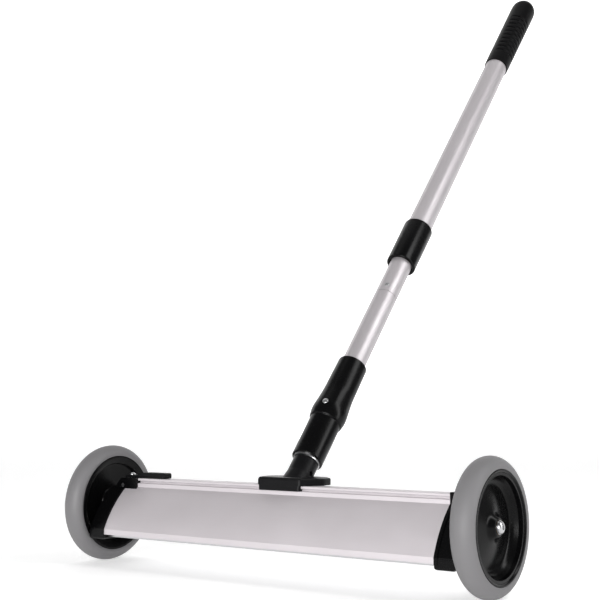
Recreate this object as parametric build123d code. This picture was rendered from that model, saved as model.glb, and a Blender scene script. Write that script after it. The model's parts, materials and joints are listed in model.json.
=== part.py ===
from build123d import *
import os
from math import atan2, cos, degrees, hypot, pi, radians, sin, sqrt

# Two-wheeled magnetic nail sweeper with a telescoping handle.
# Millimetres. The origin is on the floor, midway between the wheels; X runs along the axle
# line, -Y is the front, +Y the back towards which the handle leans, and +Z is up.

# Wheels
WHEEL_R = 63.5
WHEEL_X = 243.6          # middle plane of each wheel
TYRE_HALF = 12.0         # half the tyre's width
TYRE_CROWN = 9.7         # height of the rounded tread
SEAT_R = 46.0            # rim seat under the tyre
LIP_R = 51.8             # edge of the hub's lips
AXLE_Z = WHEEL_R
AXLE_R = 4.75
BUSH_R = 6.5
RUN = 0.05               # radial running clearance of a shaft in its bore

# Housing
BODY_END = 208.0         # half the extrusion's length
SKIRT_Y = 42.5           # half the width over the skirts
SKIRT_Z = 33.0           # bottom of the skirts
BREAK_Z = 38.6           # where the upright lip meets the curved flank
RAIL_Y = 10.0            # half the rail's width
RAIL_FOOT_Z = 82.5
RAIL_TOP = 92.0
GROOVE = (86.8, 89.5)    # bottom and top of the rail's side grooves
GROOVE_Y = 6.0
FLANK_R = 119.0
WALL = 2.0
INNER_TOP_Z = 79.0       # underside of the extrusion's top wall
CEILING_Z = 76.5         # top of the space inside the caps, above which the lever block starts
PLATE_Z = 30.3           # underside of the collecting plate
NOTCH_X = 190.5          # the rail is cut away from here to the left end
PORTS = ((34.5, 42.0), (11.5, 75.2))     # screw ports, mirrored front to back
PORT_R = 3.2
SCREW_R = 1.98

# End caps
CAP_IN = 208.2
CAP_OUT = 229.5
CAP_WALL = 2.6
CAP_FOOT_Z = 27.6        # bottom of the caps
RIM = 1.5                # how far the cap's rim stands proud of the extrusion
EAR_Y = 12.0             # outside of the lever block
SLOT_Y = 5.6             # half the lever slot

# Load release linkage: two equal cranks carry the magnet bar
CRANK = 17.0
CRANK_REST = -65.0       # crank angle at rest, from +X towards +Z
PIVOT = (-212.0, 84.0)   # lever pivot, X and Z
FOLLOWER = (192.0, 66.0)
PLATE_Y = (0.3, 3.3)     # the lugs' plates; the cranks are their mirror image
PIN_R = 2.5
SMALL_PIN_R = 2.0

# Magnet bar
BAR = (-198.0, 172.0)
BAR_Y = 17.0
BAR_Z = (35.0, 48.0)
BAR_SHEET = 2.5
MAGNETS = 10
MAGNET_Z = (32.6, 45.4)
MAGNET_Y = 14.3

# Handle, measured along the pole from the axle's height
LEAN = 40.7              # degrees back from upright
POLE_X = 10.0
POLE_Y = -8.1
LOWER_R = 13.5
UPPER_R = 15.7
TUBE_WALL = 1.3
SLEEVE = (68.0, 203.0)
LINER = (66.0, 150.5)
LINER_R = 14.9
STUB_R = 13.8
STUB_BORE = 10.5
STUB_TOP = 150.0
JOINT_S = 313.0
GLIDE_S = 785.0
COLLAR = (368.5, 436.5)
COLLAR_R = 18.7
COLLET = (372.0, 431.0)
UPPER_START = 395.0
UPPER_END = 948.0
GRIP = (797.0, 971.0)
GRIP_R = 18.4
RIBS = 9
RIB_START = 821.5
RIB_PITCH = 10.1
RIB_TURN = 33.0          # the ribs' middle, from +X towards the front
COUPLER_BUTTON = (134.0, 78.0)    # distance along the pole, angle from +X towards the front
JOINT_BUTTON = (322.5, 69.5)

POLE = Pos(POLE_X, POLE_Y, AXLE_Z) * Rot(X=-LEAN)


# ---- helpers ----

def outline(points, radii=0.0):
    """Closed flat face from corner points, each corner rounded by its own radius."""
    face = make_face(Polyline(*points, close=True))
    if not isinstance(radii, (list, tuple)):
        radii = [radii] * len(points)
    for point, radius in zip(points, radii):
        if radius > 0:
            corner = face.vertices().sort_by_distance(Vector(*point))[0]
            face = fillet(corner, radius)
    return face


def turned(points, radii=0.0):
    """Solid of revolution about Z from (radius, height) points."""
    face = Plane.XZ * outline(points, radii)
    return revolve(face, Axis.Z)


def tube(radius, bore, low, high):
    """Plain tube along Z."""
    height = high - low
    solid = Cylinder(radius, height) - Cylinder(bore, height + 2)
    return Pos(0, 0, (low + high) / 2) * solid


def rod(radius, low, high):
    """Plain rod along Z."""
    return Pos(0, 0, (low + high) / 2) * Cylinder(radius, high - low)


def block(x, y, z):
    """Box from its low and high values along each axis."""
    size = [high - low for low, high in (x, y, z)]
    centre = [(high + low) / 2 for low, high in (x, y, z)]
    return Pos(*centre) * Box(*size)


def cross_rod(radius, x, z, y):
    """Rod along Y at x, z, from the low to the high value of y."""
    return Pos(x, (y[0] + y[1]) / 2, z) * Rot(X=90) * Cylinder(radius, y[1] - y[0])


def along_x(radius, y, z, x):
    """Rod along X at y, z, from the low to the high value of x."""
    return Pos((x[0] + x[1]) / 2, y, z) * Rot(Y=90) * Cylinder(radius, x[1] - x[0])


def plate_xz(face, y):
    """Flat face drawn in X and Z, given its thickness between two values of y."""
    return extrude(Plane(origin=(0, y[1], 0), x_dir=(1, 0, 0), z_dir=(0, -1, 0)) * face, y[1] - y[0])


def flip(solid):
    """Mirror image on the other side of the middle plane."""
    return mirror(solid, Plane.YZ)


def crank_tip(pivot, angle=CRANK_REST):
    """Where a crank's pin is at an angle."""
    return (pivot[0] + CRANK * cos(radians(angle)), pivot[1] + CRANK * sin(radians(angle)))


def radial(part, place):
    """Carry a part built along +X from the pole's axis to its place and angle on the pole."""
    distance, angle = place
    return Pos(0, 0, distance) * Rot(Z=-angle) * part


# ---- housing ----

def flank_centre():
    """Centre of the front flank's arc, in Y and Z."""
    low, high = (-SKIRT_Y, BREAK_Z), (-RAIL_Y, RAIL_FOOT_Z)
    chord = hypot(high[0] - low[0], high[1] - low[1])
    reach = sqrt(FLANK_R ** 2 - (chord / 2) ** 2)
    along = ((high[0] - low[0]) / chord, (high[1] - low[1]) / chord)
    return ((low[0] + high[0]) / 2 + along[1] * reach, (low[1] + high[1]) / 2 - along[0] * reach)


def flank_arc(low, high, radius):
    """The front flank's arc between two points that lie on it."""
    centre = flank_centre()
    angles = [atan2(p[1] - centre[1], p[0] - centre[0]) for p in (low, high)]
    middle = sum(angles) / 2
    through = (centre[0] + radius * cos(middle), centre[1] + radius * sin(middle))
    return ThreePointArc(low, through, high)


def both_sides(face):
    """Front half of a section joined to its mirror image."""
    return face + mirror(face, Plane.YZ)


def shell_half(inset, floor_z, ceiling_z):
    """Front half of the housing's section, inset from the outside, without the rail."""
    centre = flank_centre()
    radius = FLANK_R - inset
    side = -SKIRT_Y + inset
    low = (side, centre[1] + sqrt(radius ** 2 - (side - centre[0]) ** 2))
    high = (centre[0] - sqrt(radius ** 2 - (ceiling_z - centre[1]) ** 2), ceiling_z)
    lines = [
        Line((0, floor_z), (side, floor_z)),
        Line((side, floor_z), low),
        flank_arc(low, high, radius),
        Line(high, (0, ceiling_z)),
        Line((0, ceiling_z), (0, floor_z)),
    ]
    return make_face(Curve() + lines)


def rail_half():
    """Front half of the T-slot rail's section."""
    points = [
        (0, RAIL_FOOT_Z - 1), (-RAIL_Y, RAIL_FOOT_Z - 1), (-RAIL_Y, GROOVE[0]), (-GROOVE_Y, GROOVE[0]),
        (-GROOVE_Y, GROOVE[1]), (-RAIL_Y, GROOVE[1]), (-RAIL_Y, RAIL_TOP), (0, RAIL_TOP),
    ]
    return outline(points, [0, 0, 0.5, 0, 0, 0.4, 0.6, 0])


def port_places():
    """All four screw ports in Y and Z."""
    return [(side * y, z) for y, z in PORTS for side in (-1, 1)]


def housing_extrusion():
    """Aluminium extrusion: two flanks, plate grooves, screw ports and the T-slot rail."""
    outer = shell_half(0, SKIRT_Z, RAIL_FOOT_Z) + rail_half()
    inner = shell_half(WALL, SKIRT_Z - 1, INNER_TOP_Z)
    hollow = outline([(0.1, 80.5), (-4.2, 80.5), (-4.2, 88.0), (0.1, 88.0)])
    ledge = outline([(-41, SKIRT_Z), (-36, SKIRT_Z), (-36, 34.5), (-41, 34.5)])
    rib = outline([(-41, 36.0), (-37.5, 36.0), (-37.5, 37.2), (-41, 37.2)])
    section = both_sides(outer - inner + ledge + rib - hollow)
    for y, z in port_places():
        section += Pos(y, z) * Circle(PORT_R)
    link = outline([(-40.4, 40.5), (-34.5, 40.5), (-34.5, 43.5), (-39.0, 43.5)])
    section += both_sides(link)
    for y, z in port_places():
        section -= Pos(y, z) * Circle(SCREW_R + 0.02)
    body = extrude(Plane.YZ * section, BODY_END, both=True)
    return body - block((-BODY_END - 1, -NOTCH_X), (-12.3, 12.3), (INNER_TOP_Z - 0.05, 100))


def bottom_plate():
    """Thin stainless tray that the nails collect on: its edges rest on the skirts' ledges."""
    length = (-BODY_END + 0.2, BODY_END - 0.2)
    tray = block(length, (-40.2, 40.2), (PLATE_Z, 35.75))
    tray -= block((-BODY_END - 1, BODY_END + 1), (-34.4, 34.4), (PLATE_Z + 1.2, 36))
    for side in (-1, 1):
        y = sorted((side * 35.6, side * 41))
        tray -= block((-BODY_END - 1, BODY_END + 1), y, (PLATE_Z - 1, 34.55))
    return tray


def cap_shell(grow, low_x, high_x, with_rail):
    """Slab with the housing's outline, grown outwards, between two values of x."""
    face = both_sides(shell_half(0, SKIRT_Z, RAIL_FOOT_Z))
    if with_rail:
        face += Pos(0, (RAIL_FOOT_Z + RAIL_TOP) / 2 - 0.5) * Rectangle(2 * RAIL_Y, RAIL_TOP - RAIL_FOOT_Z + 1)
    if grow:
        face = offset(face, grow, kind=Kind.ARC)
    return extrude(Plane(origin=(low_x, 0, 0), x_dir=(0, 1, 0), z_dir=(1, 0, 0)) * face, high_x - low_x)


def cap_body(with_rail):
    """What the two end caps share, built for the right end."""
    rim_end = CAP_IN + 3.4
    cap = cap_shell(RIM, CAP_IN, rim_end, with_rail)
    cap += cap_shell(0.2, rim_end, CAP_OUT, False)
    if with_rail:
        cap += block((rim_end - 1, rim_end + 6), (-RAIL_Y + 1, RAIL_Y - 1), (RAIL_FOOT_Z - 2, RAIL_TOP))
    foot = block((CAP_IN, CAP_OUT), (-43.4, 43.4), (CAP_FOOT_Z, SKIRT_Z + 4))
    cap += fillet(foot.edges().group_by(Axis.Z)[0], 3.0)
    hollow = both_sides(shell_half(CAP_WALL, CAP_FOOT_Z + CAP_WALL, CEILING_Z - 1))
    depth = CAP_OUT - CAP_WALL - CAP_IN + 1
    cap -= extrude(Plane(origin=(CAP_IN - 1, 0, 0), x_dir=(0, 1, 0), z_dir=(1, 0, 0)) * hollow, depth)
    for y, z in port_places():
        cap += along_x(4.6, y, z, (CAP_IN, CAP_OUT - 1)) & cap_shell(0.2, CAP_IN, CAP_OUT, False)
    cap += along_x(10.0, 0, AXLE_Z, (215.0, CAP_OUT - 1))
    return cap


def drilled(cap):
    """Right-hand cap with its screw holes, axle hole and nut pocket cut."""
    for y, z in port_places():
        cap -= along_x(SCREW_R + 0.12, y, z, (CAP_IN - 8, CAP_OUT + 1))
        cap -= along_x(4.2, y, z, (CAP_OUT - 3, CAP_OUT + 9))
    cap -= along_x(4.05, 0, AXLE_Z, (214.0, CAP_OUT + 1))
    return cap - block((214.0, 220.1), (-6.55, 6.55), (AXLE_Z - 6.55, AXLE_Z + 6.55))


def right_end_cap():
    """Right cap, with two arms inside that carry the follower crank."""
    cap = cap_body(True)
    x, z = FOLLOWER
    for side in (-1, 1):
        y = sorted((side * 6.9, side * 9.4))
        arm = block((x, CAP_OUT - 1), y, (z - 5, z + 3.4)) + cross_rod(3.4, x, z, y)
        cap += arm
    return drilled(cap) - cross_rod(SMALL_PIN_R + 0.02, x, z, (-10, 10))


def left_end_cap():
    """Left cap, with the slotted block that carries the release lever."""
    x, z = PIVOT
    side = outline(
        [(-191, 79.2), (-191, RAIL_TOP), (-215, RAIL_TOP), (-222, 84), (-224, 74), (-209, 74), (-209, 79.2)],
        [0, 1.5, 4, 4, 0, 0, 0],
    )
    ears = plate_xz(side, (-EAR_Y, EAR_Y))
    tongue = block((-209, -191), (-8.2, 8.2), (CEILING_Z + 0.3, 80))
    cap = drilled(cap_body(False) + flip(ears + tongue))
    cap = flip(cap) - block((-CAP_OUT - 1, -190), (-SLOT_Y, SLOT_Y), (CEILING_Z - 3, 100))
    return cap - cross_rod(PIN_R + 0.02, x, z, (-EAR_Y - 1, EAR_Y + 1))


def end_cap_screws():
    """Pan-head screws, four in each cap."""
    screws = []
    for y, z in port_places():
        screw = along_x(SCREW_R, y, z, (196.0, CAP_OUT - 2.9))
        head = along_x(3.9, y, z, (CAP_OUT - 2.9, CAP_OUT - 0.6))
        head = fillet(head.edges().group_by(Axis.X)[-1], 0.9)
        screws += [screw + head, flip(screw + head)]
    return screws


# ---- wheels ----

def axle():
    """Right shoulder screw that carries a wheel: socketed dome head, shoulder and thread."""
    head_x = WHEEL_X + 9.35
    dome = [(0, 0), (5.9, 0), (5.9, 0.8), (5.2, 2.1), (3.6, 3.1), (0, 3.5)]
    head = Pos(head_x, 0, AXLE_Z) * Rot(Y=90) * turned(dome, [0, 0, 0.5, 2.0, 2.5, 0])
    hexagon = extrude(RegularPolygon(2.2, 6), 3)
    socket = Pos(head_x + 1.7, 0, AXLE_Z) * Rot(Y=90) * hexagon
    shoulder = along_x(AXLE_R, 0, AXLE_Z, (CAP_OUT + 0.05, head_x + 0.5))
    thread = along_x(4.0, 0, AXLE_Z, (214.0, CAP_OUT + 0.1))
    return head + shoulder + thread - socket


def axle_nuts():
    """Square nuts captive in the caps' bosses."""
    nut = block((214.9, 220.0), (-6.5, 6.5), (AXLE_Z - 6.5, AXLE_Z + 6.5))
    nut -= along_x(4.02, 0, AXLE_Z, (214, 221))
    return [nut, flip(nut)]


def axle_washers():
    """A thin washer under each head and a thicker one against each cap."""
    washers = []
    for low, high, radius in ((8.8, 9.3, 6.4), (-14.0, -11.8, 9.0)):
        ring = along_x(radius, 0, AXLE_Z, (WHEEL_X + low, WHEEL_X + high))
        ring -= along_x(AXLE_R + 0.05, 0, AXLE_Z, (WHEEL_X + low - 1, WHEEL_X + high + 1))
        washers += [ring, flip(ring)]
    return washers


def hub():
    """Right hub: deep outer dish, shallow cone to the boss, and a lip at each side of the tyre."""
    points = [
        (BUSH_R, 8.5), (8.4, 8.5), (12.5, 3.2), (41.6, -2.6), (48.9, 10.4), (49.8, 11.8), (LIP_R, 11.8),
        (LIP_R, 10.3), (SEAT_R, 10.3), (SEAT_R, -10.3), (LIP_R, -10.3), (LIP_R, -11.8), (49.4, -11.8),
        (43.6, -9.6), (42.6, -6.0), (14.5, -1.2), (12.5, -11.5), (BUSH_R, -11.5),
    ]
    radii = [0, 1.4, 5, 3.0, 1.0, 0.6, 0.7, 0, 0, 0, 0, 0.7, 0.8, 1.5, 2, 3, 0.6, 0]
    return Pos(WHEEL_X, 0, AXLE_Z) * Rot(Y=90) * turned(points, radii)


def tyre():
    """Right tyre: rounded tread on straight sides, stretched between the hub's lips."""
    top = WHEEL_R - TYRE_CROWN
    ellipse = Pos(top, 0) * Ellipse(TYRE_CROWN, TYRE_HALF)
    crown = ellipse & Pos(top + TYRE_CROWN / 2, 0) * Rectangle(TYRE_CROWN, 2 * TYRE_HALF + 1)
    band = Pos((LIP_R + 0.1 + top) / 2, 0) * Rectangle(top - LIP_R - 0.1, 2 * TYRE_HALF)
    foot = Pos((SEAT_R + 0.05 + top) / 2, 0) * Rectangle(top - SEAT_R - 0.05, 20.4)
    face = Plane.XZ * (crown + band + foot)
    return Pos(WHEEL_X, 0, AXLE_Z) * Rot(Y=90) * revolve(face, Axis.Z)


def bush():
    """Right plain bearing bush, pressed into the hub."""
    return Pos(WHEEL_X, 0, AXLE_Z) * Rot(Y=90) * tube(BUSH_R - 0.01, AXLE_R + RUN, -11.5, 8.5)


# ---- load release ----

def link_plate(pivot, tip, y, pivot_bore, tip_bore, pivot_r=5.0, tip_r=4.0):
    """Flat crank between two holes."""
    ends = cross_rod(pivot_r, *pivot, y) + cross_rod(tip_r, *tip, y)
    length = hypot(tip[0] - pivot[0], tip[1] - pivot[1])
    slope = degrees(atan2(tip[1] - pivot[1], tip[0] - pivot[0]))
    middle = ((pivot[0] + tip[0]) / 2, (pivot[1] + tip[1]) / 2)
    web = Pos(middle[0], (y[0] + y[1]) / 2, middle[1]) * Rot(Y=-slope) * Box(length, y[1] - y[0], 2 * tip_r)
    return ends + web - cross_rod(pivot_bore, *pivot, (-9, 9)) - cross_rod(tip_bore, *tip, (-9, 9))


def lever_crank():
    """Steel crank under the lever, with a folded tab that the lever is screwed to."""
    x, z = PIVOT
    y = (-PLATE_Y[1], -PLATE_Y[0])
    crank = link_plate(PIVOT, crank_tip(PIVOT), y, PIN_R + RUN, SMALL_PIN_R + 0.02)
    crank += block((x - 3.5, x + 5), y, (z + 2.6, RAIL_TOP + 0.2))
    crank += block((x - 2.5, x + 9), (-PLATE_Y[1], 4.9), (RAIL_TOP - 2, RAIL_TOP + 0.2))
    return crank - Pos(x + 3, 0, RAIL_TOP) * Cylinder(2.02, 8)


def release_lever():
    """Black lever that lies along the rail's top, thicker at the thumb end."""
    base = RAIL_TOP + 0.3
    side = outline(
        [(-215, base), (-154, base), (-154, base + 5.9), (-186, base + 5.9), (-198, base + 2.7),
         (-215, base + 2.7)],
        [0.6, 1.0, 2.4, 8, 8, 1.2],
    )
    lever = plate_xz(side, (-5.2, 5.2))
    for i in range(9):
        lever -= cross_rod(1.1, -157.5 - 3.5 * i, base + 6.45, (-6, 6))
    return lever - Pos(PIVOT[0] + 3, 0, base) * Cylinder(2.1, 12)


def lever_screw():
    """Domed screw through the lever into the crank's tab."""
    top = RAIL_TOP + 3.05
    dome = [(0, top), (3.7, top), (3.7, top + 0.7), (2.4, top + 2.0), (0, top + 2.4)]
    head = turned(dome, [0, 0, 0.4, 1.8, 0])
    return Pos(PIVOT[0] + 3, 0, 0) * (head + rod(1.98, RAIL_TOP - 2.5, top + 0.2))


def pin_along_y(place, radius, y, head_r=0.0, head=0.6):
    """Plain pin, or a rivet with a thin head at each end."""
    pin = cross_rod(radius, *place, y)
    if head_r:
        pin += cross_rod(head_r, *place, (y[0], y[0] + head)) + cross_rod(head_r, *place, (y[1] - head, y[1]))
    return pin


def follower_crank():
    """Second crank, as long as the lever's, so that the bar stays level."""
    y = (-PLATE_Y[1], -PLATE_Y[0])
    tip = crank_tip(FOLLOWER)
    return link_plate(FOLLOWER, tip, y, SMALL_PIN_R + RUN, SMALL_PIN_R + 0.02, pivot_r=4.0)


def magnet_channel():
    """Steel keeper channel, open downwards."""
    channel = block(BAR, (-BAR_Y, BAR_Y), BAR_Z)
    inside = BAR_Y - BAR_SHEET
    channel -= block((BAR[0] - 1, BAR[1] + 1), (-inside, inside), (BAR_Z[0] - 1, BAR_Z[1] - BAR_SHEET))
    for x in rivet_places():
        channel -= Pos(x, 0, BAR_Z[1]) * Cylinder(2.0, 12)
    return channel


def rivet_places():
    """Where the lugs are riveted to the channel."""
    return (-193.5, -184.5, 158.0, 167.0)


def bar_magnets():
    """Row of ferrite blocks under the channel's web."""
    pitch = (BAR[1] - BAR[0] - 4) / MAGNETS
    start = BAR[0] + 2
    magnets = []
    for i in range(MAGNETS):
        x = (start + pitch * i + 0.3, start + pitch * (i + 1) - 0.3)
        magnets.append(block(x, (-MAGNET_Y, MAGNET_Y), MAGNET_Z))
    return magnets


def lug(points, foot_x, tip):
    """Bar end bracket: an upright plate with a foot that is riveted to the channel's web."""
    plate = plate_xz(outline(points), PLATE_Y) + cross_rod(4.0, *tip, PLATE_Y)
    foot = block(foot_x, (-6.2, 6.2), (BAR_Z[1] + 0.05, BAR_Z[1] + 2.4))
    bracket = plate + foot - cross_rod(SMALL_PIN_R + RUN, *tip, (-9, 9))
    for x in rivet_places():
        bracket -= Pos(x, 0, BAR_Z[1]) * Cylinder(2.0, 12)
        bracket -= Pos(x, 0, BAR_Z[1] + 7.4) * Cylinder(3.4, 10)
    return bracket


def left_bar_lug():
    """Tall lug that reaches up to the lever's crank."""
    x, z = crank_tip(PIVOT)
    foot = BAR_Z[1] + 0.05
    points = [(x - 4, z), (x - 4, foot), (-180, foot), (-180, foot + 2.4), (x + 4, foot + 9), (x + 4, z)]
    return lug(points, (-197.5, -180), (x, z))


def right_bar_lug():
    """Low lug that passes under the follower's pivot and turns up to its crank."""
    x, z = crank_tip(FOLLOWER)
    foot = BAR_Z[1] + 0.05
    points = [
        (153, foot), (BAR[1] + 0.4, foot), (BAR[1] + 0.4, 36), (x + 4, 36), (x + 4, z), (x - 4, z),
        (x - 4, 44.4), (177.2, 44.4), (177.2, foot + 2.4), (153, foot + 2.4),
    ]
    return lug(points, (153, BAR[1] - 0.5), (x, z))


def lug_rivets():
    """Rivets through the lugs' feet and the channel's web."""
    low, high = BAR_Z[1] - BAR_SHEET + 0.05, BAR_Z[1] + 2.45
    rivets = []
    for x in rivet_places():
        rivets.append(Pos(x, 0, 0) * (rod(1.97, low, high + 0.2) + rod(3.2, high, high + 1.2)))
    return rivets


# ---- handle bracket ----

def handle_bracket():
    """Moulded bracket: plate on the rail, front jaw in the rail's groove, and the leaning stub."""
    half = [(26.5, -13.5), (41.0, 11.0), (40.0, 24.0), (25.0, 38.0)]
    points = [(-x, y) for x, y in half] + [(x, y) for x, y in reversed(half)]
    radii = [4, 6, 8, 6, 6, 8, 6, 4]
    plan = Pos(POLE_X, 0) * outline(points, radii)
    low = RAIL_TOP + 0.1
    plate = extrude(Pos(0, 0, low) * plan, 6.9)
    plate = fillet(plate.edges().group_by(Axis.Z)[-1], 1.6)
    jaw = block((POLE_X - 26.4, POLE_X + 26.4), (-13.5, -RAIL_Y - 0.1), (GROOVE[0] + 0.1, low + 2))
    jaw += block((POLE_X - 25, POLE_X + 25), (-RAIL_Y - 0.2, -GROOVE_Y - 0.3), (GROOVE[0] + 0.1, GROOVE[1] - 0.1))
    jaw = fillet(jaw.edges().filter_by(Axis.Z).group_by(Axis.Y)[0], 3.0)
    bar = block((POLE_X - 25.6, POLE_X + 25.6), (-12.6, -5.5), (low + 2, low + 7.9))
    jaw += fillet(bar.edges().group_by(Axis.Z)[-1], 0.9)
    flare = Pos(0, 0, 40) * Cone(16.2, STUB_R, 16)
    stub = rod(STUB_R, 25, STUB_TOP) + flare
    stub = POLE * stub - block((-60, 80), (-60, 80), (40, low))
    bracket = plate + jaw + stub
    cuts = rod(STUB_BORE, 75, STUB_TOP + 1)
    cuts += Pos(0, 0, 51.3) * Rot(Y=90) * Cylinder(2.6, 60)
    cuts += radial(Pos(15, 0, 0) * Rot(Y=90) * Cylinder(3.5, 12), COUPLER_BUTTON)
    bracket -= POLE * cuts
    for x in (-24, 24):
        bracket -= Pos(POLE_X + x, 19, low) * Cylinder(2.02, 10)
    return bracket


def rear_jaw():
    """Loose jaw that is drawn up into the rail's rear groove."""
    low = RAIL_TOP + 0.1
    jaw = block((POLE_X - 32, POLE_X + 32), (RAIL_Y + 0.2, 26.0), (84.5, low - 0.15))
    jaw += block((POLE_X - 30, POLE_X + 30), (GROOVE_Y + 0.3, RAIL_Y + 0.4), (GROOVE[0] + 0.1, GROOVE[1] - 0.1))
    jaw = fillet(jaw.edges().filter_by(Axis.Z).group_by(Axis.Y)[-1], 4.0)
    for x in (-24, 24):
        jaw -= Pos(POLE_X + x, 19, low) * Cylinder(2.1, 30)
    return jaw


def jaw_screws():
    """Hexagon screws that pull the rear jaw up against the bracket."""
    screws = []
    for x in (-24, 24):
        head = extrude(Pos(0, 0, 81.2) * RegularPolygon(4.4, 6), 3.2)
        screws.append(Pos(POLE_X + x, 19, 0) * (head + rod(1.98, 84.3, RAIL_TOP + 4.6)))
    return screws


# ---- handle ----

def button_bore(radius, place, low, high):
    """Radial hole through a wall for a snap button."""
    return radial(Pos((low + high) / 2, 0, 0) * Rot(Y=90) * Cylinder(radius, high - low), place)


def snap_button(radius, place, foot, flange_r, top):
    """Domed button along +X, with a flange that keeps it inside the tube."""
    stem = [(0, foot), (flange_r, foot), (flange_r, foot + 1.4), (radius, foot + 1.4), (radius, top - 1.2), (0, top)]
    shape = Rot(Y=90) * turned(stem, [0, 0, 0, 0, 1.4, 0])
    return POLE * radial(shape, place)


def button_spring(place, wire, radius, low, high, turns):
    """Coil spring behind a snap button."""
    path = Helix(pitch=(high - low - 2 * wire) / turns, height=high - low - 2 * wire, radius=radius)
    section = Plane(origin=path @ 0, z_dir=path % 0) * Circle(wire)
    coil = Pos(0, 0, low + wire) * sweep(section, path)
    return POLE * radial(Rot(Y=90) * coil, place)


def coupler_sleeve():
    """Black sleeve that joins the pole to the stub, swollen round its button."""
    low, high = SLEEVE
    points = [
        (LINER_R + 0.03, low), (17.1, low), (17.5, 118.0), (18.7, 119.2), (20.2, 127.0), (20.2, 133.0),
        (18.8, 145.0), (17.7, 158.0), (17.1, high), (LOWER_R + 0.03, high),
        (LOWER_R + 0.03, 151.0), (LINER_R + 0.03, 151.0),
    ]
    radii = [0, 1.4, 0.4, 0.7, 6, 8, 14, 20, 2.0, 0.6, 0, 0]
    return POLE * (turned(points, radii) - button_bore(3.5, COUPLER_BUTTON, 12, 24))


def coupler_liner():
    """Bright liner tube whose end shows as a ring at the sleeve's mouth."""
    liner = tube(LINER_R, STUB_R + 0.1, *LINER)
    return POLE * (liner - button_bore(3.5, COUPLER_BUTTON, 12, 24))


def lower_tube():
    """Lower pole tube, set in the sleeve."""
    return POLE * tube(LOWER_R, LOWER_R - TUBE_WALL, 151.5, JOINT_S)


def joint_spigot():
    """Inner tube that is fixed in the lower tube and plugs into the middle one."""
    spigot = tube(LOWER_R - TUBE_WALL - 0.05, 10.9, 270, 348)
    return POLE * (spigot - button_bore(3.08, JOINT_BUTTON, 8, 18))


def middle_tube():
    """Middle pole tube, which slides inside the upper one."""
    shape = tube(LOWER_R, LOWER_R - TUBE_WALL, JOINT_S + 0.8, GLIDE_S)
    return POLE * (shape - button_bore(3.08, JOINT_BUTTON, 8, 18))


def tube_glide():
    """Plastic plug in the top of the middle tube that guides the upper tube."""
    bore = UPPER_R - TUBE_WALL - 0.08
    points = [(0, 762), (LOWER_R - TUBE_WALL - 0.03, 762), (LOWER_R - TUBE_WALL - 0.03, GLIDE_S + 0.1),
              (bore, GLIDE_S + 0.1), (bore, GLIDE_S + 8), (0, GLIDE_S + 8)]
    return POLE * turned(points, [0, 1, 0, 0.4, 1, 0])


def upper_tube():
    """Wider upper tube, up to the grip's end."""
    return POLE * tube(UPPER_R, UPPER_R - TUBE_WALL, UPPER_START, UPPER_END)


def lock_collet():
    """Slotted collet on the upper tube's end, squeezed on to the middle tube by the collar."""
    low, high = COLLET
    points = [(LOWER_R + 0.08, low), (15.0, low), (16.6, 381), (17.0, 396), (17.0, high),
              (UPPER_R + 0.03, high), (UPPER_R + 0.03, UPPER_START - 0.2), (LOWER_R + 0.08, UPPER_START - 0.2)]
    collet = turned(points)
    for angle in (0, 90):
        collet -= Rot(Z=angle) * block((-20, 20), (-0.8, 0.8), (low - 1, low + 19))
    return POLE * collet


def lock_collar():
    """Black twist collar round the collet."""
    low, high = COLLAR
    points = [(14.7, low), (COLLAR_R - 0.4, low), (COLLAR_R, high), (16.1, high), (16.1, high - 3.5),
              (17.1, high - 3.5), (17.1, low + 3), (14.7, low + 3)]
    return POLE * turned(points, [0.3, 1.4, 2.2, 0, 0, 0, 0, 0])


def grip():
    """Soft grip with a domed end and a row of ribs on the fingers' side."""
    low, high = GRIP
    points = [(UPPER_R + 0.05, low), (17.2, low), (17.5, low + 10), (GRIP_R, high - 26), (GRIP_R - 0.4, high - 14),
              (11.0, high - 1.5), (0, high), (0, UPPER_END + 4), (UPPER_R + 0.05, UPPER_END + 4)]
    shape = turned(points, [0, 0.7, 0, 20, 13, 8, 0, 0, 0])
    for i in range(RIBS + 1):
        cut = Torus(GRIP_R + 1.9, 2.9) & Rot(Z=-RIB_TURN) * block((9.0, 24), (-24, 24), (-4, 4))
        shape -= Pos(0, 0, RIB_START + RIB_PITCH * i) * cut
    return POLE * shape


def grip_plug():
    """Plug that closes the upper tube's end inside the grip."""
    bore = UPPER_R - TUBE_WALL - 0.03
    points = [(0, 915), (bore, 915), (bore, UPPER_END + 0.1), (UPPER_R, UPPER_END + 0.1),
              (UPPER_R, UPPER_END + 3), (0, UPPER_END + 3)]
    return POLE * turned(points)


# ---- every node and its shape ----

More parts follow.
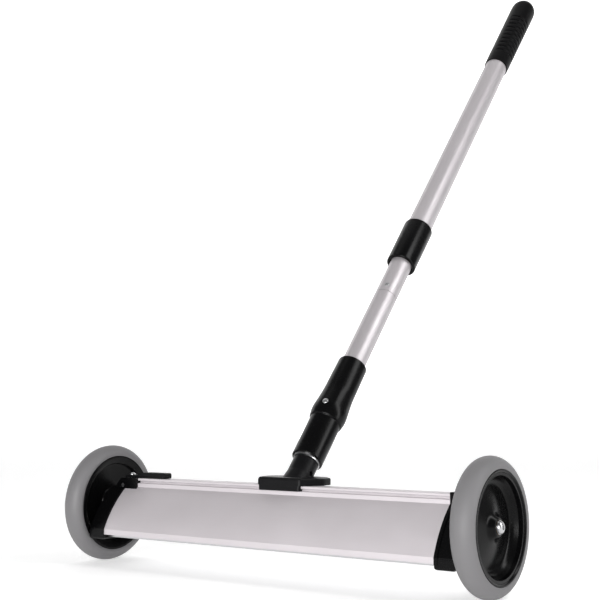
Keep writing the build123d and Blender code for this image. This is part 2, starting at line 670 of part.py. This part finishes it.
def solids():
    """Every node's name and its solid or group of solids."""
    tip = crank_tip(PIVOT)
    far_tip = crank_tip(FOLLOWER)
    return {
        "housing_extrusion": housing_extrusion(),
        "bottom_plate": bottom_plate(),
        "left_end_cap": left_end_cap(),
        "right_end_cap": right_end_cap(),
        "end_cap_screws": end_cap_screws(),
        "left_axle": flip(axle()),
        "right_axle": axle(),
        "axle_nuts": axle_nuts(),
        "axle_washers": axle_washers(),
        "left_hub": flip(hub()),
        "right_hub": hub(),
        "left_tyre": flip(tyre()),
        "right_tyre": tyre(),
        "left_bush": flip(bush()),
        "right_bush": bush(),
        "release_lever": release_lever(),
        "lever_screw": lever_screw(),
        "lever_crank": lever_crank(),
        "lever_pivot_pin": pin_along_y(PIVOT, PIN_R, (-EAR_Y, EAR_Y)),
        "lever_crank_pin": pin_along_y(tip, SMALL_PIN_R, (-3.95, 4.25), 3.2),
        "follower_crank": follower_crank(),
        "follower_pivot_pin": pin_along_y(FOLLOWER, SMALL_PIN_R, (-9.4, 9.4)),
        "follower_crank_pin": pin_along_y(far_tip, SMALL_PIN_R, (-3.95, 4.25), 3.2),
        "magnet_channel": magnet_channel(),
        "bar_magnets": bar_magnets(),
        "left_bar_lug": left_bar_lug(),
        "right_bar_lug": right_bar_lug(),
        "lug_rivets": lug_rivets(),
        "handle_bracket": handle_bracket(),
        "rear_jaw": rear_jaw(),
        "jaw_screws": jaw_screws(),
        "coupler_sleeve": coupler_sleeve(),
        "coupler_liner": coupler_liner(),
        "coupler_button": snap_button(3.4, COUPLER_BUTTON, 7.4, 5.0, 21.2),
        "coupler_spring": button_spring(COUPLER_BUTTON, 0.5, 2.8, -9.6, 7.3, 6),
        "lower_tube": lower_tube(),
        "joint_spigot": joint_spigot(),
        "joint_button": snap_button(3.0, JOINT_BUTTON, 8.2, 4.2, 15.1),
        "joint_spring": button_spring(JOINT_BUTTON, 0.45, 2.4, -9.8, 8.1, 6),
        "middle_tube": middle_tube(),
        "tube_glide": tube_glide(),
        "lock_collar": lock_collar(),
        "lock_collet": lock_collet(),
        "upper_tube": upper_tube(),
        "grip": grip(),
        "grip_plug": grip_plug(),
    }


os.makedirs("parts", exist_ok=True)
for name, shape in solids().items():
    if isinstance(shape, list):
        shape = Compound(children=shape)
    export_step(shape, f"parts/{name}.step")
    print(name, round(shape.volume, 1))
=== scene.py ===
import bmesh
import bpy
import json
from math import cos, degrees, exp, pi, radians, sin
from mathutils import Matrix, Vector


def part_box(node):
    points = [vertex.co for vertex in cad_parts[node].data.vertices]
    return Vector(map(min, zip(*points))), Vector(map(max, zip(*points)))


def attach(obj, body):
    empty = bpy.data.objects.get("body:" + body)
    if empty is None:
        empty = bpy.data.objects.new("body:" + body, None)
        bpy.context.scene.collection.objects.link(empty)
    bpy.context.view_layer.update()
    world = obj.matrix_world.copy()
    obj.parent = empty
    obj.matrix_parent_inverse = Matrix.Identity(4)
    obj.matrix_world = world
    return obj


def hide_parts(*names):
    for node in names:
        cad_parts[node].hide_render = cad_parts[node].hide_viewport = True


# Colours are linear red, green and blue.
SATIN = (0.57, 0.535, 0.555)
TUBE = (0.50, 0.475, 0.49)
STEEL = (0.50, 0.50, 0.51)
STAINLESS = (0.58, 0.58, 0.59)
BRONZE = (0.42, 0.27, 0.12)
FERRITE = (0.055, 0.055, 0.06)
TYRE_GREY = (0.150, 0.147, 0.151)
GLOSS_BLACK = (0.002, 0.002, 0.0022)
MATT_BLACK = (0.004, 0.004, 0.0045)
GRIP_BLACK = (0.002, 0.002, 0.0023)
FLOOR = (0.86, 0.86, 0.86)

COLLAR_MIDDLE = 0.4025   # metres along the pole to the middle of the twist collar
COUPLER_BUTTON = (134, 78)       # millimetres up the pole, degrees from +X towards the front
BUTTON_HOLE = 3.5        # radius of the button's hole in the sleeve, in millimetres

TYRE_CROWN = 9.7         # millimetres; radius of the tread's round
TYRE_RIM = 51.9          # millimetres; where the tyre meets the hub's lips

# The ribs on the grip: millimetres up the pole, and degrees round it.
RIBS = (818, 916)        # where they start and end
RIB_START = 821.5        # middle of the first groove
RIB_PITCH = 10.1
RIB_WIDTH = 1.7          # of a groove
RIB_DEPTH = 0.95
RIB_TURN = 33.0          # from +X towards the front to the ribs' middle
RIB_REACH = 62           # from the ribs' middle to where they end
RIB_FADE = 14            # over which they fade out

# The backdrop stands square to the camera's view, seen from above.
VIEW = Vector((-0.569, 0.822, 0))
ACROSS = Vector((0.822, 0.569, 0))


def noise(tree, scale, stretch, detail, seed):
    """Noise texture in the piece's own metres, stretched per axis."""
    place = tree.nodes.new("ShaderNodeTexCoord")
    mapping = tree.nodes.new("ShaderNodeMapping")
    mapping.inputs["Location"].default_value = (seed, 2.3 * seed, -seed)
    mapping.inputs["Scale"].default_value = stretch
    texture = tree.nodes.new("ShaderNodeTexNoise")
    texture.inputs["Scale"].default_value = scale
    texture.inputs["Detail"].default_value = detail
    tree.links.new(place.outputs["Object"], mapping.inputs["Vector"])
    tree.links.new(mapping.outputs["Vector"], texture.inputs["Vector"])
    return texture.outputs["Fac"]


def ramp(tree, value, low, high, start=0.3, end=0.7):
    """Map a texture's value from a start and end to a low and a high value."""
    node = tree.nodes.new("ShaderNodeMapRange")
    node.inputs["From Min"].default_value = start
    node.inputs["From Max"].default_value = end
    node.inputs["To Min"].default_value = low
    node.inputs["To Max"].default_value = high
    tree.links.new(value, node.inputs["Value"])
    return node.outputs["Result"]


def finish_material(
        name, colour, metal, rough, grain, stretch, bump=0.05, wear=0.12, shine=0.5, seed=0.0):
    """Procedural finish: colour drift, fine grain in the roughness and the bump, and rubbed patches."""
    material = bpy.data.materials.new(name)
    material.use_nodes = True
    tree = material.node_tree
    shader = tree.nodes["Principled BSDF"]
    shader.inputs["Metallic"].default_value = metal
    shader.inputs["Specular IOR Level"].default_value = shine
    fine = noise(tree, grain, stretch, 6.0, seed)
    broad = noise(tree, 14.0, (1, 1, 1), 3.0, seed + 4.0)
    mix = tree.nodes.new("ShaderNodeMix")
    mix.data_type = "RGBA"
    mix.inputs["A"].default_value = [c * (1 - wear) for c in colour] + [1]
    mix.inputs["B"].default_value = [min(1, c * (1 + wear)) for c in colour] + [1]
    blend = tree.nodes.new("ShaderNodeMath")
    blend.operation = "MULTIPLY_ADD"
    blend.inputs[1].default_value = 0.35
    tree.links.new(fine, blend.inputs[0])
    tree.links.new(ramp(tree, broad, 0.0, 0.65), blend.inputs[2])
    tree.links.new(blend.outputs[0], mix.inputs["Factor"])
    tree.links.new(mix.outputs["Result"], shader.inputs["Base Color"])
    roughness = tree.nodes.new("ShaderNodeMath")
    roughness.operation = "ADD"
    tree.links.new(ramp(tree, fine, -0.05, 0.05), roughness.inputs[0])
    tree.links.new(ramp(tree, broad, rough - 0.04, rough + 0.05), roughness.inputs[1])
    tree.links.new(roughness.outputs[0], shader.inputs["Roughness"])
    relief = tree.nodes.new("ShaderNodeBump")
    relief.inputs["Strength"].default_value = bump
    relief.inputs["Distance"].default_value = 0.0004
    tree.links.new(fine, relief.inputs["Height"])
    tree.links.new(relief.outputs["Normal"], shader.inputs["Normal"])
    return material


def slot_materials():
    """One finish for each of the record's material slots."""
    even = (1, 1, 1)
    return {
        "aluminium_body": finish_material(
            "Satin anodised", SATIN, 0.5, 0.5, 900, (0.02, 1, 1), 0.06, 0.03, seed=1),
        "aluminium_tube": finish_material(
            "Brushed tube", TUBE, 0.6, 0.42, 700, (1, 0.06, 0.06), 0.05, 0.03, seed=2),
        "gloss_black": finish_material(
            "Gloss black", GLOSS_BLACK, 0.0, 0.24, 1100, even, 0.02, 0.2, shine=0.12, seed=3),
        "matte_black": finish_material(
            "Moulded black", MATT_BLACK, 0.0, 0.38, 2500, even, 0.15, 0.2, shine=0.12, seed=4),
        "grip_rubber": finish_material(
            "Grip rubber", GRIP_BLACK, 0.0, 0.42, 3000, even, 0.2, 0.2, shine=0.08, seed=5),
        "grey_tyre": finish_material("Grey tyre", TYRE_GREY, 0.0, 0.5, 1800, even, 0.15, 0.05, shine=0.3, seed=6),
        "bronze": finish_material("Sintered bronze", BRONZE, 1.0, 0.45, 2500, even, 0.2, 0.1, seed=7),
        "ferrite": finish_material("Ferrite", FERRITE, 0.2, 0.6, 2500, even, 0.3, 0.15, seed=8),
        "stainless": finish_material("Stainless", STAINLESS, 1.0, 0.3, 1200, (0.03, 1, 1), 0.06, 0.05, seed=9),
        "steel": finish_material("Zinc-plated steel", STEEL, 1.0, 0.28, 1400, even, 0.05, 0.08, seed=10),
    }


def rounded(points, radii, steps=6):
    """Closed outline with each corner replaced by a short curve of about the given radius."""
    outline = []
    count = len(points)
    for i, (point, radius) in enumerate(zip(points, radii)):
        corner = Vector(point)
        before = Vector(points[i - 1]) - corner
        after = Vector(points[(i + 1) % count]) - corner
        reach = min(radius, 0.45 * before.length, 0.45 * after.length)
        if reach <= 0:
            outline.append(corner)
            continue
        start = corner + before.normalized() * reach
        end = corner + after.normalized() * reach
        for step in range(steps + 1):
            t = step / steps
            outline.append(start * (1 - t) ** 2 + corner * 2 * t * (1 - t) + end * t ** 2)
    return outline


def lathe(name, outline, place, turns=160, shape=None, sharp=32):
    """Closed ring of an outline of radius and height, in millimetres, turned about the local Z axis."""
    mesh = bpy.data.meshes.new(name)
    build = bmesh.new()
    rows = []
    for radius, height in outline:
        if radius < 1e-6:
            rows.append([build.verts.new((0, 0, height / 1000))] * turns)
            continue
        row = []
        for i in range(turns):
            angle = 2 * pi * i / turns
            r = (shape(radius, height, angle) if shape else radius) / 1000
            row.append(build.verts.new((r * cos(angle), r * sin(angle), height / 1000)))
        rows.append(row)
    for a, b in zip(rows, rows[1:] + rows[:1]):
        if a[0] is a[1] and b[0] is b[1]:
            continue
        for i in range(turns):
            j = (i + 1) % turns
            corners = [a[i], a[j], b[j], b[i]]
            build.faces.new(list(dict.fromkeys(corners)))
    bmesh.ops.recalc_face_normals(build, faces=build.faces)
    build.transform(place)
    build.to_mesh(mesh)
    build.free()
    mesh.polygons.foreach_set("use_smooth", [True] * len(mesh.polygons))
    mesh.set_sharp_from_angle(angle=radians(sharp))
    obj = bpy.data.objects.new(name, mesh)
    bpy.context.scene.collection.objects.link(obj)
    return obj


def wheel_place(side):
    """Matrix from a lathe's axis to a wheel's axle, with the outside of the wheel up, and its tyre's size."""
    low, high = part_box(side + "_tyre")
    turn = 90 if side == "right" else -90
    place = Matrix.Translation((low + high) / 2) @ Matrix.Rotation(radians(turn), 4, "Y")
    return place, (high.z - low.z) * 500, (high.x - low.x) * 500


def add_tyre(side):
    """Tyre with a rounded tread and a shallow step beside the rim."""
    place, radius, half = wheel_place(side)
    outline = []
    steps = 48
    for i in range(steps + 1):
        angle = radians(-90 + 180 * i / steps)
        outline.append((radius - TYRE_CROWN + TYRE_CROWN * cos(angle), half * sin(angle)))
    inner = [(53.4, half), (53.0, half - 0.35), (TYRE_RIM, half - 0.5), (TYRE_RIM, 10.2), (46.1, 10.2)]
    outline += inner + [(r, -h) for r, h in reversed(inner)]
    tyre = lathe(side + "_tyre_tread", outline, place, 224)
    replace(tyre, side + "_tyre", side + "_wheel", "grey_tyre")


def add_hub(side):
    """Moulded hub: deep dish outside, boss in the middle and a lip on each side of the tyre."""
    place, _, _ = wheel_place(side)
    points = [
        (6.52, 8.5), (8.4, 8.5), (12.5, 3.2), (41.6, -2.55), (48.6, 10.2), (49.7, 11.75), (51.75, 11.75),
        (51.75, 10.3), (46.05, 10.3), (46.05, -10.3), (51.75, -10.3), (51.75, -11.75), (49.4, -11.75),
        (43.6, -9.6), (42.6, -6.0), (14.5, -1.2), (12.5, -11.5), (6.52, -11.5),
    ]
    radii = [0.3, 1.4, 8, 5.5, 2.5, 1.2, 0.7, 0.1, 0, 0, 0.1, 0.7, 0.8, 1.5, 2, 3, 0.6, 0.3]
    hub = lathe(side + "_hub_moulding", rounded(points, radii, 8), place, 192)
    replace(hub, side + "_hub", side + "_wheel", "gloss_black")


def pole_place(frame):
    """Matrix whose Z runs up the pole from the axle's height, from the telescope's and the collar's joints."""
    joints = {joint["name"]: joint for joint in frame["joints"]}
    axis = Vector(joints["telescope"]["axis"]).normalized()
    origin = Vector(joints["collar_twist"]["pos_m"]) - axis * COLLAR_MIDDLE
    across = Vector((1, 0, 0))
    turn = Matrix((across, axis.cross(across), axis)).transposed().to_4x4()
    return Matrix.Translation(origin) @ turn


def add_sleeve(place):
    """Black sleeve with a stepped swelling round its button."""
    points = [
        (14.95, 68), (17.1, 68), (17.45, 118.4), (18.7, 119.6), (20.1, 127), (20.15, 133), (18.8, 145), (17.7, 158),
        (17.1, 203), (13.55, 203), (13.55, 151.2), (14.95, 151.2),
    ]
    radii = [0.2, 1.6, 0.5, 1.2, 5, 5, 9, 12, 2.6, 0.6, 0, 0]
    outline = rounded(points, radii, 10)
    sleeve = lathe("coupler_sleeve_moulding", outline, place, 144)
    drill(sleeve, button_cutter(place, *COUPLER_BUTTON, BUTTON_HOLE))
    replace(sleeve, "coupler_sleeve", "housing", "gloss_black")


def button_cutter(place, height, angle, radius):
    """Rod through one side of the pole, for a button's hole."""
    mesh = bpy.data.meshes.new("Cutter")
    build = bmesh.new()
    bmesh.ops.create_cone(
        build, cap_ends=True, segments=48, radius1=radius / 1000, radius2=radius / 1000, depth=0.014)
    local = Matrix.Translation((0, 0, height / 1000)) @ Matrix.Rotation(radians(-angle), 4, "Z")
    build.transform(place @ local @ Matrix.Translation((0.018, 0, 0)) @ Matrix.Rotation(radians(90), 4, "Y"))
    build.to_mesh(mesh)
    build.free()
    obj = bpy.data.objects.new("Cutter", mesh)
    bpy.context.scene.collection.objects.link(obj)
    return obj


def drill(obj, cutter):
    """Cut a hole and keep only the result."""
    modifier = obj.modifiers.new("Hole", "BOOLEAN")
    modifier.object = cutter
    modifier.operation = "DIFFERENCE"
    graph = bpy.context.evaluated_depsgraph_get()
    mesh = bpy.data.meshes.new_from_object(obj.evaluated_get(graph))
    obj.modifiers.clear()
    obj.data = mesh
    bpy.data.objects.remove(cutter)


def add_collar(place):
    """Twist collar with rounded ends."""
    points = [
        (14.75, 368.6), (18.3, 368.6), (18.65, 436.4), (16.15, 436.4), (16.15, 433.1), (17.15, 433.1),
        (17.15, 371.4), (14.75, 371.4),
    ]
    radii = [0.5, 2.6, 3.4, 0.4, 0, 0, 0, 0.2]
    collar = lathe("lock_collar_moulding", rounded(points, radii, 10), place, 144)
    replace(collar, "lock_collar", "collar", "gloss_black")


def add_grip(place):
    """Grip with a domed end and nine ribs on one side, fading out round the grip."""
    points = [
        (15.8, 797), (17.15, 797), (17.45, 807), (18.35, 945), (18.0, 957), (11.0, 969.4), (0, 970.9),
        (0, 952.1), (15.8, 952.1),
    ]
    radii = [0.2, 0.9, 0.3, 20, 13, 10, 0, 0, 0]
    outline = []
    corners = rounded(points, radii, 10)
    for a, b in zip(corners, corners[1:] + corners[:1]):
        outline.append(a)
        if a.x > 17 and b.x > 17 and (b - a).length > 2:
            parts = int((b - a).length / 0.7)
            outline += [a.lerp(b, i / parts) for i in range(1, parts)]

    def ribbed(radius, height, angle):
        low, high = RIBS
        if radius < 16.5 or height < low or height > high:
            return radius
        away = abs((degrees(-angle) - RIB_TURN + 180) % 360 - 180)
        side = max(0.0, min(1.0, (RIB_REACH - away) / RIB_FADE))
        wave = (height - RIB_START) / RIB_PITCH
        groove = exp(-((wave - round(wave)) * RIB_PITCH / RIB_WIDTH) ** 2)
        ends = max(0.0, min(1.0, (height - low) / 3.0, (high - height) / 3.0))
        return radius - RIB_DEPTH * side * groove * ends

    grip = lathe("grip_moulding", outline, place, 160, ribbed, 40)
    replace(grip, "grip", "handle_top", "grip_rubber")


def replace(obj, node, body, slot):
    """Show a piece in place of a CAD node, on the node's body, in a slot's finish."""
    obj.data.materials.append(materials[slot])
    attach(obj, body)
    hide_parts(node)


def area_light(name, place, aim, size, power):
    """Soft rectangular lamp aimed at a point."""
    lamp = bpy.data.lights.new(name, "AREA")
    lamp.shape = "RECTANGLE"
    lamp.size, lamp.size_y = size
    lamp.energy = power
    obj = bpy.data.objects.new(name, lamp)
    obj.location = place
    obj.rotation_euler = (Vector(aim) - Vector(place)).to_track_quat("-Z", "Y").to_euler()
    bpy.context.scene.collection.objects.link(obj)


def stage_sheet(name, corners, glow, seed):
    """Large pale sheet that is part of the studio, with a little light of its own."""
    mesh = bpy.data.meshes.new(name)
    mesh.from_pydata(corners, [], [(0, 1, 2, 3)])
    sheet = bpy.data.objects.new(name, mesh)
    bpy.context.scene.collection.objects.link(sheet)
    material = finish_material(name, FLOOR, 0.0, 0.7, 60, (1, 1, 1), 0.01, 0.005, shine=0.1, seed=seed)
    shader = material.node_tree.nodes["Principled BSDF"]
    shader.inputs["Emission Color"].default_value = (1, 1, 1, 1)
    shader.inputs["Emission Strength"].default_value = glow
    sheet.data.materials.append(material)


def studio():
    """Pale floor, white backdrop, dim surroundings and soft lamps."""
    stage_sheet("studio_floor", [(-9, -9, 0), (9, -9, 0), (9, 9, 0), (-9, 9, 0)], 0.4, 11)
    away = VIEW * 5.0
    across = ACROSS * 8.0
    rise = Vector((0, 0, 7))
    base = Vector((0, 0, -0.2))
    corners = [away - across + base, away + across + base, away + across + rise, away - across + rise]
    stage_sheet("studio_backdrop", corners, 0.95, 12)
    world = bpy.data.worlds.new("Studio")
    bpy.context.scene.world = world
    world.use_nodes = True
    background = world.node_tree.nodes["Background"]
    background.inputs["Color"].default_value = (1, 1, 1, 1)
    background.inputs["Strength"].default_value = 0.17
    area_light("Key", (0.9, -2.5, 0.5), (0, 0, 0.15), (1.6, 0.9), 80)
    area_light("Fill", (-1.8, -1.6, 0.6), (0, 0, 0.2), (1.0, 1.0), 4)
    area_light("Top", (-0.3, 0.6, 2.4), (0, 0, 0.1), (2.0, 1.6), 5)
    area_light("Strip", (1.35, 0.5, 0.95), (0, 0.12, 0.22), (0.4, 1.8), 14)


def camera():
    """Low camera off the right-hand wheel, looking slightly up."""
    data = bpy.data.cameras.new("Camera")
    data.sensor_width = 36
    data.lens = 67.36
    data.shift_x = -0.0552
    data.shift_y = -0.1615
    obj = bpy.data.objects.new("Camera", data)
    obj.location = (0.7272, -0.9512, 0.1711)
    obj.rotation_euler = (radians(90 + 10.28), 0, radians(34.68))
    bpy.context.scene.collection.objects.link(obj)
    bpy.context.scene.camera = obj
    bpy.context.scene.view_settings.view_transform = "Standard"


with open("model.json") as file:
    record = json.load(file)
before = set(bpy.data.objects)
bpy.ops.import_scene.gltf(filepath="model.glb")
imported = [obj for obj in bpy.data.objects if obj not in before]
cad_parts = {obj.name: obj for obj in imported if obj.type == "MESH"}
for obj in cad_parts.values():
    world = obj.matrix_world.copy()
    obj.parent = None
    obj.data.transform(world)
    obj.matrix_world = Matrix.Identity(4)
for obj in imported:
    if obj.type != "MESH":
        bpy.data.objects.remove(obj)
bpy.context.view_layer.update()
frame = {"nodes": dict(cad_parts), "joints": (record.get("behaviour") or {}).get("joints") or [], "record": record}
materials = slot_materials()
slots = {part["node"]: part["material_slot"] for part in frame["record"]["subparts"]}
for node, obj in frame["nodes"].items():
    obj.data.materials.clear()
    obj.data.materials.append(materials[slots[node]])
pole = pole_place(frame)
for side in ("left", "right"):
    add_tyre(side)
    add_hub(side)
add_sleeve(pole)
add_collar(pole)
add_grip(pole)
studio()
camera()
